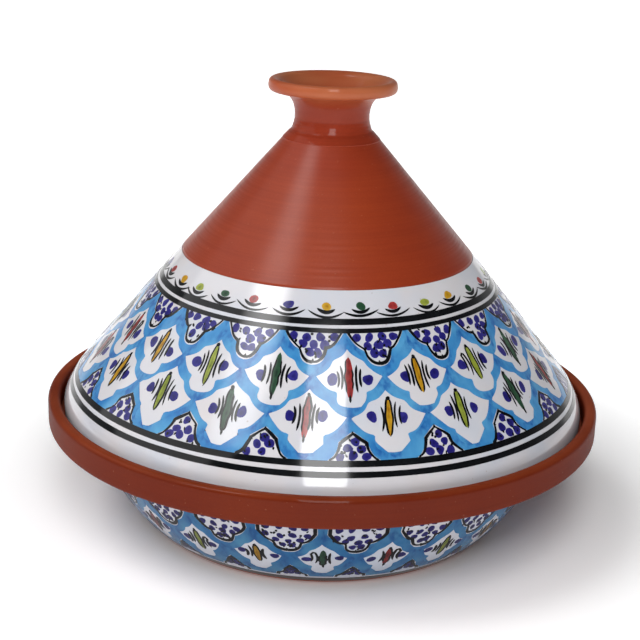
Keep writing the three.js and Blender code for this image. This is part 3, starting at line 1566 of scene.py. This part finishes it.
@dataclass
class Garland:
    """The row of little smiles and coloured dots over the lid's lattice."""

    lattice: Lattice
    seed: int = 77
    count: int = 30
    first: float = -0.4  # angle of the first dot
    slant: float = 9.3
    dot: Point = (5.2, 4.2)
    colours: tuple[Pigment, ...] = (
        Pigment.YELLOW, Pigment.GREEN, Pigment.RED, Pigment.LIME, Pigment.YELLOW,
        Pigment.GREEN, Pigment.RED, Pigment.LIME, Pigment.COBALT, Pigment.RED,
        Pigment.YELLOW, Pigment.LIME, Pigment.GREEN, Pigment.RED, Pigment.COBALT,
    )

    def paint(self) -> None:
        """Draws every smile and its dot."""
        hand = Hand(random.Random(self.seed))
        ink = self.lattice.brush(Pigment.BLACK)
        for index in range(self.count):
            degrees = self.first + index * 360 / self.count + hand.off(0.9)
            spot = Spot(self.lattice.face, degrees, self.slant + hand.off(0.6))
            lean = hand.off(0.09)
            dot = self.lattice.brush(self.colours[index % len(self.colours)])
            centre = (hand.off(0.4), 0.4)
            size = (hand.near(self.dot[0], 0.1), hand.near(self.dot[1], 0.12))
            dot.blot(spot, centre, size, hand.off(15), hand.rng)
            for half, sag, y, width in ((4.6, 2.1, -0.7, 1.9), (8.6, 3.0, -2.0, 1.25)):
                half, sag = hand.near(half, 0.07), hand.near(sag, 0.12)
                xs = [half * (i / 6 - 1) for i in range(13)]
                path = [(x, y - sag * (1 - (x / half) ** 2) + lean * x) for x in xs]
                ink.line(spot, path, leaf(hand.near(width, 0.12)))


# ---- The pot's two halves ----


@dataclass
class Dish:
    """The footed dish: its clay, its glaze coats and its painted wall."""

    rim: Reach = field(default_factory=lambda: Reach("rim_clear_glaze"))
    wall: Reach = field(default_factory=lambda: Reach("dish_painted_glaze"))
    foot_r: float = 91.0
    foot_ring: float = 12.0  # width of the ring it stands on
    foot_recess: float = 2.5
    wall_foot: Point = (94.5, 2.6)
    wall_bulge: Point = (114.0, 18.0)  # the point that pulls the wall's curve out
    wall_thickness: float = 8.0
    floor_z: float = 8.5
    floor_r: float = 62.0
    rim_width: float = 6.6
    rim_under: float = 57.0  # height of the rim's underside
    lip: float = 2.6  # rounding of the rim's top edges
    heel: float = 3.6  # rounding of its lower edge
    under_drop: float = 2.0  # how far the clay hangs down where wall and rim meet
    gallery_z: float = 60.0  # height of the ledge that the lid stands on
    gallery_lip: float = 2.0
    rim_coat_foot: float = 63.0  # where the rim's glaze ends in the gallery
    glaze: float = 0.7
    bed: float = 0.55  # how far the clay is set back under a coat
    inside_rings: Rings = (0.32, 9.0, 5)
    underside_rings: Rings = (0.12, 5.0, 8)

    def wall_face(self) -> list[Point]:
        """The painted wall, from its foot up."""
        return bend(self.wall_foot, self.wall_bulge, (self.wall.radius, self.wall.top), 28)

    def rim_face(self) -> list[Point]:
        """Draws the rim's glazed face.

        Returns:
            The outline, from the heel over the lip to the gallery.
        """
        outer, inner, lip = self.rim.radius, self.rim.radius - self.rim_width, self.lip
        heel_centre = (outer - self.heel, self.rim_under + self.heel)
        lip_z = self.rim.top - lip
        return [
            *arc(heel_centre, self.heel, -90, 0, 9),
            *between((outer, self.rim_under + self.heel + 0.6), (outer, lip_z - 0.6), 2),
            *arc((outer - lip, lip_z), lip, 0, 90, 9),
            *arc((inner + lip, lip_z), lip, 90, 180, 9),
            (inner, self.rim_coat_foot),
        ]

    def bowl_face(self) -> list[Point]:
        """Draws the inside of the bowl.

        Returns:
            The outline, from the gallery's edge to the middle of the floor.
        """
        top = (self.wall.radius - self.wall_thickness, self.gallery_z - self.gallery_lip - self.bed)
        pull = (self.wall_bulge[0] - self.wall_thickness / 2, self.floor_z + self.wall_thickness / 2)
        side = bend(top, pull, (self.floor_r, self.floor_z), 38)
        floor = between((self.floor_r, self.floor_z), (0.0, self.floor_z), 30)
        return ripple(chain(side, floor), *self.inside_rings)

    def clay_outline(self) -> list[Point]:
        """Draws the clay: foot, wall, rim, gallery and inside.

        Returns:
            The outline, each glazed stretch set back.
        """
        ring_inner = self.foot_r - self.foot_ring
        wall = (self.wall.radius, self.wall.top)
        rim_inner = self.rim.radius - self.rim_width
        lip_centre = (wall[0] - self.wall_thickness + self.gallery_lip, self.gallery_z - self.gallery_lip)
        under = self.rim_under - self.under_drop
        underside = between((0.0, self.foot_recess), (ring_inner - self.foot_recess, self.foot_recess), 26)
        return [
            *ripple(underside, *self.underside_rings),
            (ring_inner, 0.3),
            (ring_inner + 0.4, 0.0),
            (self.foot_r - 0.5, 0.0),
            (self.foot_r + 0.4, 0.5),
            (self.wall_foot[0] - 0.5, self.wall_foot[1] - 0.6),
            *set_back(self.wall_face(), self.bed),
            *bend((wall[0], wall[1] + 0.4), (wall[0] + 0.6, under), (wall[0] + 5, under), 8),
            *set_back(self.rim_face(), self.bed),
            (rim_inner, self.rim_coat_foot - 0.4),
            (rim_inner, self.gallery_z + 0.6),
            (rim_inner - 0.6, self.gallery_z),
            *arc(lip_centre, self.gallery_lip, 90, 180, 8),
            *set_back(self.bowl_face(), self.bed),
        ]

    def lattice(self) -> Lattice:
        """Plans the painted band on the wall.

        Returns:
            One row of cells between crowded half motifs.
        """
        colours = (Pigment.GREEN, Pigment.RED, Pigment.LIME, Pigment.YELLOW)
        cells = Row(centre=31.2, half=12.2, up=11.4, down=15.6, first=1.25, colours=colours)
        return Lattice(
            face=Face(self.wall_face()[::-1]),
            count=22,
            rows=(cells,),
            nodes=(10.5, 31.0, 49.6),
            top=0.6,
            bottom=52.4,
            crown=(13.6, 11.6, 13.8),
            peak=(6.6, 9.0),
            shoulder=(0.5, 0.5),
            rings=((57.3, 5.6),),
            seed=41,
            leaf_length=15.5,
            leaf_width=3.8,
            pen=1.45,
            dot=(4.6, 4.4),
            dot_place=8.6,
            blotch=(3.6, 3.8),
            dense=True,
            halo=1.2,
            ink=1.5,
        )

    def build(self) -> list[bpy.types.Object]:
        """Builds and dresses the dish.

        Returns:
            Its pieces.
        """
        clay = turn("dish_clay", self.clay_outline())
        dress(clay, FOOT_CLAY, "dish", "terracotta", "dish_body")
        white = coat("dish_white_glaze", self.wall_face(), self.glaze)
        dress(white, SHADED_DISH_WHITE_GLAZE, "dish", "painted_glaze", "dish_painted_glaze")
        rim = coat("dish_rim_glaze", self.rim_face(), self.glaze)
        dress(rim, RIM_GLAZE, "dish", "clear_glaze", "rim_clear_glaze")
        inside = coat("dish_inside_glaze", self.bowl_face(), self.glaze)
        dress(inside, INSIDE_GLAZE, "dish", "clear_glaze", "dish_inner_glaze")
        lattice = self.lattice()
        lattice.paint()
        return [clay, white, rim, inside, *lattice.pieces("dish")]


@dataclass
class Lid:
    """The conical lid: its clay, its glaze coats, its painted band and its knob."""

    band: Reach = field(default_factory=lambda: Reach("lid_painted_glaze"))
    cone: Reach = field(default_factory=lambda: Reach("lid_cone"))
    knob: Reach = field(default_factory=lambda: Reach("lid_knob"))
    wall_thickness: float = 6.5
    bend_foot: float = 69.0  # height where the upright foot starts to bend in
    bend_top: Point = (131.0, 88.3)  # where the straight cone starts
    band_top_r: float = 78.2
    shoulder_r: float = 25.6  # the cone's radius under the knob
    crown_z: float = 204.0  # the highest point of the inside
    crown_r: float = 36.0  # where the inside starts to round over
    glaze: float = 0.7
    bed: float = 0.55  # how far the clay is set back under a coat
    inside_rings: Rings = (0.3, 7.0, 11)
    cone_rings: Rings = (0.035, 2.6, 23)
    knob_rings: Rings = (0.06, 2.6, 31)
    ledge_r: float = 22.4  # where the cone's slope stops under the neck
    neck: Point = (19.6, 223.6)  # the knob's waist
    flange_under: Point = (31.2, 236.4)
    flange_z: float = 239.4  # height of the flange's widest ring
    crest_r: float = 31.4  # radius of its highest ring
    cup_lip: Point = (27.0, 240.8)
    cup_waist: Point = (13.0, 229.0)
    cup_z: float = 224.0  # the cup's lowest point

    def band_top(self) -> Point:
        """Where the white glaze ends and the bare cone starts."""
        return self.band_top_r, self.band.top

    def shoulder(self) -> Point:
        """Where the knob stands on the cone."""
        return self.shoulder_r, self.cone.top

    def bend_face(self) -> list[Point]:
        """The turn from the lid's upright foot into the cone, from the foot up."""
        foot = (self.cone.radius, self.bend_foot)
        return bend(foot, on_line(self.band_top(), self.bend_top, foot[0]), self.bend_top, 16)

    def band_face(self) -> list[Point]:
        """Draws the white-glazed face.

        Returns:
            The outline, from its foot up to the bare cone.
        """
        foot = (self.band.radius, self.band.bottom)
        upright = between(foot, (foot[0], self.bend_foot), 2)
        return chain(upright, self.bend_face(), between(self.bend_top, self.band_top(), 4))

    def inside_wall(self) -> list[Point]:
        """Sets the wall's thickness back from its outside.

        Returns:
            The inside of the wall, from under the knob down to the foot.
        """
        foot = (self.cone.radius, self.cone.bottom)
        outer = [foot, *self.bend_face(), self.band_top(), self.shoulder()]
        return set_back(outer, self.wall_thickness)[::-1]

    def inside_face(self) -> list[Point]:
        """Draws the glazed inside.

        Returns:
            The outline, from the crown down to a little over the foot.
        """
        wall = self.inside_wall()
        edge = on_line(wall[0], wall[1], self.crown_r)
        corner = on_line(wall[0], wall[1], self.shoulder_r)
        crown = bend((0.0, self.crown_z), (corner[0], self.crown_z), edge, 12)
        slope = between(edge, wall[1], 70)
        skirt = [*wall[1:-1], (wall[-1][0], self.band.bottom)]
        return [*ripple(chain(crown, slope), *self.inside_rings), *skirt[1:]]

    def clay_outline(self) -> list[Point]:
        """Draws the clay: the inside, the foot, the set-back band and the bare cone.

        Returns:
            The outline, from the axis under the crown to the axis under the knob.
        """
        inside = self.inside_face()
        band = set_back(self.band_face(), self.bed)
        bare = between(self.band_top(), self.shoulder(), 100)
        return [
            *set_back(inside, self.bed),
            (inside[-1][0], self.band.bottom - 0.4),
            (inside[-1][0], self.cone.bottom + 0.8),
            (inside[-1][0] + 0.8, self.cone.bottom),
            (self.cone.radius - 1.0, self.cone.bottom),
            (self.cone.radius, self.cone.bottom + 1.0),
            (self.cone.radius, self.band.bottom - 0.4),
            *band,
            *ripple(bare, *self.cone_rings)[1:],
            (0.0, self.cone.top),
        ]

    def knob_outline(self) -> list[Point]:
        """Draws the knob: foot, waisted neck, rounded flange and cup.

        Returns:
            The outline, from the axis under its foot to the bottom of the cup.
        """
        foot_z = self.cone.top
        neck, under = self.neck, self.flange_under
        flange = (self.knob.radius, self.flange_z)
        crest = (self.crest_r, self.knob.top)
        lip, waist = self.cup_lip, self.cup_waist
        foot = (self.shoulder_r + 0.1, foot_z + 0.2)
        ledge = on_line(self.band_top(), self.shoulder(), self.ledge_r)
        hollow = (neck[0] + 1.0, ledge[1] + 2.8)
        side = chain(
            between(foot, ledge, 4),
            bend(ledge, (hollow[0] + 0.4, ledge[1] + 0.8), hollow, 8),
            bend(hollow, (neck[0], hollow[1] + 3.0), neck, 8),
            bend(neck, (neck[0], under[1]), under, 22),
            bend(under, (flange[0], under[1] + 0.3), flange, 8),
            bend(flange, (flange[0], crest[1] - 0.2), crest, 8),
            bend(crest, (lip[0] + 1.2, crest[1] - 0.3), lip, 6),
            between(lip, waist, 14),
            bend(waist, (waist[0] / 2, self.cup_z), (0.0, self.cup_z), 12),
        )
        return [
            (0.0, foot_z - 0.4),
            (self.shoulder_r - 0.4, foot_z - 0.4),
            (self.shoulder_r + 0.05, foot_z - 0.1),
            *ripple(side, *self.knob_rings),
        ]

    def lattice(self) -> Lattice:
        """Plans the painted band.

        Returns:
            Two rows of cells between half motifs, and the black rings.
        """
        colours = (Pigment.RED, Pigment.YELLOW, Pigment.LIME, Pigment.GREEN)
        upper = Row(centre=44.9, half=16.1, up=13.4, down=15.6, first=6.4, colours=colours)
        lower = Row(centre=65.2, half=18.6, up=13.6, down=18.4, first=-3.2, colours=colours)
        return Lattice(
            face=Face(self.band_face()[::-1]),
            count=20,
            rows=(upper, lower),
            nodes=(26.2, 44.9, 65.6, 85.9),
            top=21.6,
            bottom=87.2,
            crown=(12.8, 0.8, 16.0),
            peak=(11.6, 13.4),
            shoulder=(0.54, 0.62),
            rings=((16.6, 3.3), (21.2, 2.4), (87.8, 3.1), (92.9, 2.9)),
            seed=7,
            leaf_length=21.0,
            leaf_width=3.9,
            pen=1.1,
            dot=(4.8, 5.8),
            dot_place=8.0,
            blotch=(4.3, 4.6),
            dense=False,
            sway=2.0,
        )

    def build(self) -> list[bpy.types.Object]:
        """Builds and dresses the lid.

        Returns:
            Its pieces.
        """
        clay = turn("lid_clay", self.clay_outline())
        dress(clay, BARE_CLAY, "lid", "terracotta", "lid_cone")
        white = coat("lid_white_glaze", self.band_face(), self.glaze)
        dress(white, WHITE_GLAZE, "lid", "painted_glaze", "lid_painted_glaze")
        inside = coat("lid_inside_glaze", self.inside_face(), self.glaze)
        dress(inside, INSIDE_GLAZE, "lid", "clear_glaze", "lid_inner_glaze")
        knob = turn("lid_knob_clay", self.knob_outline())
        dress(knob, KNOB_CLAY, "lid", "terracotta", "lid_knob")
        lattice = self.lattice()
        lattice.paint()
        Garland(lattice).paint()
        return [clay, white, inside, knob, *lattice.pieces("lid")]


# ---- The set ----

WHITE_LIGHT = (1.0, 1.0, 1.0, 1.0)


def direction(azimuth: float, elevation: float) -> Vector:
    """The unit vector towards an azimuth from the front and an elevation, in degrees."""
    a, e = math.radians(azimuth), math.radians(elevation)
    return Vector((math.sin(a) * math.cos(e), -math.cos(a) * math.cos(e), math.sin(e)))


@dataclass(frozen=True)
class Softbox:
    """A soft light that faces the pot from a direction."""

    name: str
    azimuth: float  # from the front, positive to the right
    elevation: float
    distance: float
    width: float
    height: float
    watts: float
    aim: tuple[float, float, float] = (0.0, -0.1, 0.13)

    def build(self) -> None:
        """Hangs the light."""
        data = bpy.data.lights.new(self.name, "AREA")
        data.shape = "RECTANGLE"
        data.size = self.width
        data.size_y = self.height
        data.energy = self.watts
        light = bpy.data.objects.new(self.name, data)
        bpy.context.scene.collection.objects.link(light)
        out = direction(self.azimuth, self.elevation)
        light.location = Vector(self.aim) + out * self.distance
        light.rotation_euler = out.to_track_quat("Z", "Y").to_euler()
        light.visible_camera = False


@dataclass
class Studio:
    """A white sweep lit from behind, soft lights and the camera."""

    camera_y: float = -0.7366
    camera_z: float = 0.3442
    pitch: float = 17.54  # how far the camera looks down, in degrees
    roll: float = 1.95
    shift: float = -0.0081
    lens: float = 79.35
    film: float = 36.0
    floor_reach: float = 4.0
    floor_paper: tuple[float, float, float, float] = (0.93, 0.93, 0.935, 1.0)
    floor_glow: float = 0.9  # how brightly the floor glows away from the pot: painted light, not a lamp
    # The floor's glow fades out round this point, a little behind and right of the pot: a painted shadow.
    painted_shadow_middle: tuple[float, float, float] = (0.01, 0.058, 0.0)
    painted_shadow_reach: Point = (0.126, 0.3)  # where the painted shadow round the pot gives way to the floor's glow, and where the glow is full
    air: float = 0.03  # the light that comes from everywhere
    backdrop: float = 0.3  # brightness of the wall behind
    backdrop_sides: Point = (0.1, 0.7)  # from its sides to where it is full
    backdrop_top: Point = (0.2, 0.6)  # from where it starts to dim to its top
    sweep: Point = (0.03, 0.1)  # the bright line low round the room: its full part and its end
    glow: float = 7.5  # a soft-edged lamp in the room's upper left
    glow_from: Point = (-62.0, 59.0)  # its azimuth and elevation
    glow_reach: Point = (2.0, 13.0)  # where it starts to fade and where it ends, in degrees
    lights: tuple[Softbox, ...] = (
        Softbox("front_softbox", 2.5, 41.3, 1.5, 0.46, 1.1, 12.7),
        Softbox("left_panel", -88.0, 40.0, 1.15, 1.3, 1.1, 4.0),
    )

    def floor(self) -> None:
        """Lays a wide pale floor that glows away from the pot, with a painted shadow round the pot."""
        bm = bmesh.new()
        bmesh.ops.create_grid(bm, x_segments=1, y_segments=1, size=self.floor_reach)
        floor = finish_mesh("studio_floor", bm)
        recipe = Recipe("studio_white")
        recipe.gloss(roughness=0.8, specular=0.1)
        recipe.shader.inputs["Base Color"].default_value = self.floor_paper
        recipe.shader.inputs["Emission Color"].default_value = WHITE_LIGHT
        # Painted light and shadow: the floor glows more the further it is from a point behind and right of
        # the pot.
        away = recipe.node("ShaderNodeVectorMath", operation="DISTANCE")
        recipe.link(recipe.place, away.inputs[0])
        away.inputs[1].default_value = self.painted_shadow_middle
        glow = recipe.spread(away.outputs["Value"], *self.painted_shadow_reach, (0.0, self.floor_glow))
        recipe.link(glow, recipe.shader.inputs["Emission Strength"])
        floor.data.materials.append(recipe.material)

    def world(self) -> None:
        """Fills the room with dim air, a paper wall at the back, a bright sweep and one soft lamp."""
        world = bpy.data.worlds.new("studio_air")
        world.use_nodes = True
        bpy.context.scene.world = world
        recipe = Recipe("", world.node_tree)
        parts = recipe.node("ShaderNodeSeparateXYZ")
        place = recipe.node("ShaderNodeTexCoord").outputs["Generated"]
        recipe.link(place, parts.inputs[0])
        behind = recipe.spread(parts.outputs["Y"], *self.backdrop_sides)
        high = recipe.spread(parts.outputs["Z"], *self.backdrop_top, (self.backdrop, 0.0))
        low = recipe.spread(parts.outputs["Z"], *self.sweep, (1.0, 0.0))
        paper = recipe.maths("MAXIMUM", recipe.maths("MULTIPLY", behind, high), low)
        facing = recipe.node("ShaderNodeVectorMath", operation="DOT_PRODUCT")
        recipe.link(place, facing.inputs[0])
        facing.inputs[1].default_value = direction(*self.glow_from)
        near, far = (math.cos(math.radians(a)) for a in self.glow_reach)
        glow = recipe.spread(facing.outputs["Value"], far, near, (0.0, self.glow))
        paper = recipe.maths("ADD", paper, glow)
        background = world.node_tree.nodes["Background"]
        background.inputs["Color"].default_value = WHITE_LIGHT
        recipe.link(recipe.maths("ADD", paper, self.air), background.inputs["Strength"])

    def camera(self) -> None:
        """Sets the camera in front of the pot, a little over it and a touch off level."""
        data = bpy.data.cameras.new("camera")
        data.lens = self.lens
        data.shift_x = self.shift
        data.sensor_width = self.film
        camera = bpy.data.objects.new("camera", data)
        bpy.context.scene.collection.objects.link(camera)
        tilt = Matrix.Rotation(math.radians(90 - self.pitch), 4, "X")
        roll = Matrix.Rotation(math.radians(self.roll), 4, "Z")
        place = Matrix.Translation((0.0, self.camera_y, self.camera_z))
        camera.matrix_world = place @ tilt @ roll
        bpy.context.scene.camera = camera

    def build(self) -> None:
        """Sets up the floor, the room, the lights and the camera."""
        self.floor()
        self.world()
        self.camera()
        for light in self.lights:
            light.build()
        bpy.context.scene.view_settings.view_transform = "Standard"


def main() -> None:
    """Builds the dish, the lid and the set."""
    logging.basicConfig(level=logging.INFO, format="%(name)s: %(message)s")
    Studio().build()
    for half in (Dish(), Lid()):
        pieces = half.build()
        log.info("%s done: %d pieces", type(half).__name__, len(pieces))


if __name__ == "__main__":
    main()
